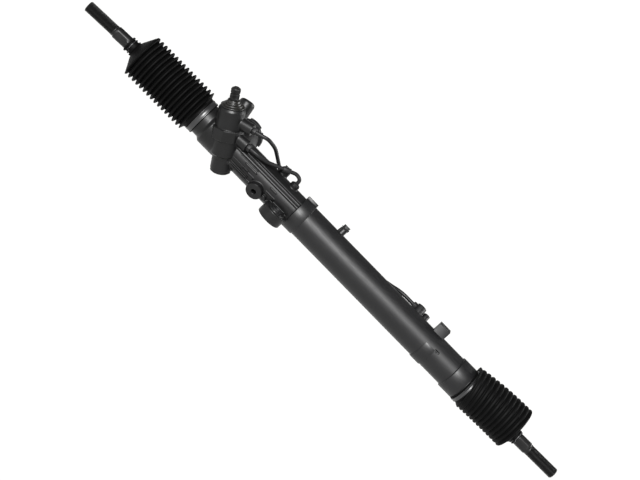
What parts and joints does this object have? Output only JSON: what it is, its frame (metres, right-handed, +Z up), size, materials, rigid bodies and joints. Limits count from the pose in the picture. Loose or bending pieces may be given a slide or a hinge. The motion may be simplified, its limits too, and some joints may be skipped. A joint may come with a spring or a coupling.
{
  "type": "steering rack",
  "caption": "Power-assisted rack-and-pinion steering gear with an angled valve tower, a hydraulic cylinder, steel lines, rubber bellows and threaded tie rods.",
  "frame": {"origin": "on the rack's centre line, at the middle of the smooth stretch of cylinder tube that the saddle clamp holds", "axes": "+X along the rack away from the pinion, +Z up along the mounting bolt, -Y toward the pinion's side"},
  "size_m": [0.993, 0.125, 0.1241],
  "materials": {
    "housing_paint": "satin dark grey paint over cast aluminium",
    "tube_paint": "satin dark grey paint over drawn steel tube",
    "rubber": "matt moulded",
    "seal_rubber": "matt",
    "band_steel": "bright",
    "zinc_steel": "zinc plated, dulled",
    "line_steel": "plated, dark",
    "ground_steel": "ground",
    "forged_steel": "dark oxide",
    "piston_aluminium": "turned",
    "bearing_plastic": "matt"
  },
  "bodies": {
    "housing": {"gear_housing": "housing_paint", "cylinder_tube": "tube_paint", "tube_collar": "tube_paint", "tube_end_sleeve": "tube_paint", "bottom_cap": "housing_paint", "adjuster_plug": "housing_paint", "adjuster_lock_nut": "zinc_steel", "guide_spring": "ground_steel", "rack_guide": "piston_aluminium", "guide_liner": "bearing_plastic", "lower_bearing_outer": "ground_steel", "lower_bearing_balls": "ground_steel", "pinion_seal": "seal_rubber", "valve_retainer": "zinc_steel", "upper_bearing": "ground_steel", "input_shaft_seal": "seal_rubber", "inner_rack_seal": "seal_rubber", "inner_seal_backing": "bearing_plastic", "left_rack_bush": "bearing_plastic", "end_stopper": "piston_aluminium", "outer_rack_seal": "seal_rubber", "right_rack_bush": "bearing_plastic", "stopper_wire": "ground_steel", "rack_stop_ring": "piston_aluminium", "mounting_bush": "rubber", "mounting_sleeve": "zinc_steel", "left_bellows": "rubber", "right_bellows": "rubber", "left_big_clamp": "band_steel", "right_big_clamp": "band_steel", "near_line": "line_steel", "far_line": "line_steel", "line_nuts": "zinc_steel", "line_clamp": "zinc_steel", "tube_clip": "zinc_steel", "clip_bolts": "zinc_steel"},
    "rack": {"rack_bar": "ground_steel", "piston": "piston_aluminium", "piston_ring": "bearing_plastic", "piston_snap_rings": "ground_steel", "left_lock_washer": "zinc_steel", "right_lock_washer": "zinc_steel", "left_ball_housing": "forged_steel", "right_ball_housing": "forged_steel", "left_ball_seat": "bearing_plastic", "right_ball_seat": "bearing_plastic"},
    "pinion": {"pinion_shaft": "ground_steel", "pinion_nut": "ground_steel", "lower_bearing_inner": "ground_steel", "valve_sleeve": "ground_steel", "torsion_bar": "ground_steel"},
    "input_shaft": {"input_shaft": "ground_steel", "dust_cover": "rubber"},
    "left_tie_rod": {"left_tie_rod": "forged_steel", "left_small_clip": "band_steel"},
    "right_tie_rod": {"right_tie_rod": "forged_steel", "right_small_clip": "band_steel"}
  },
  "joints": [
    {"name": "rack_slide", "type": "slide", "parent": "housing", "child": "rack", "axis": [1, 0, 0], "range_m": [-0.043, 0.081], "deforming": ["left_bellows", "right_bellows"]},
    {"name": "pinion_turn", "type": "hinge", "parent": "housing", "child": "pinion", "pos_m": [-0.2855, -0.01448, -0.00308], "axis": [-0.5141, -0.1783, 0.839], "range_deg": [-570, 303]},
    {"name": "valve_twist", "type": "hinge", "parent": "pinion", "child": "input_shaft", "pos_m": [-0.2855, -0.01448, -0.00308], "axis": [-0.5141, -0.1783, 0.839], "range_deg": [-4, 4], "stiffness_Nm_per_rad": 60},
    {"name": "left_rod_swing", "type": "hinge", "parent": "rack", "child": "left_tie_rod", "pos_m": [-0.4515, 0, 0], "axis": [0, 1, 0], "range_deg": [-19.2, 24.8], "deforming": ["left_bellows"]},
    {"name": "right_rod_swing", "type": "hinge", "parent": "rack", "child": "right_tie_rod", "pos_m": [0.2985, 0, 0], "axis": [0, 1, 0], "range_deg": [-21, 23], "deforming": ["right_bellows"]}
  ],
  "couplings": [
    {"joint": "pinion_turn", "follows": "rack_slide", "rad_per_m": -122.53}
  ]
}
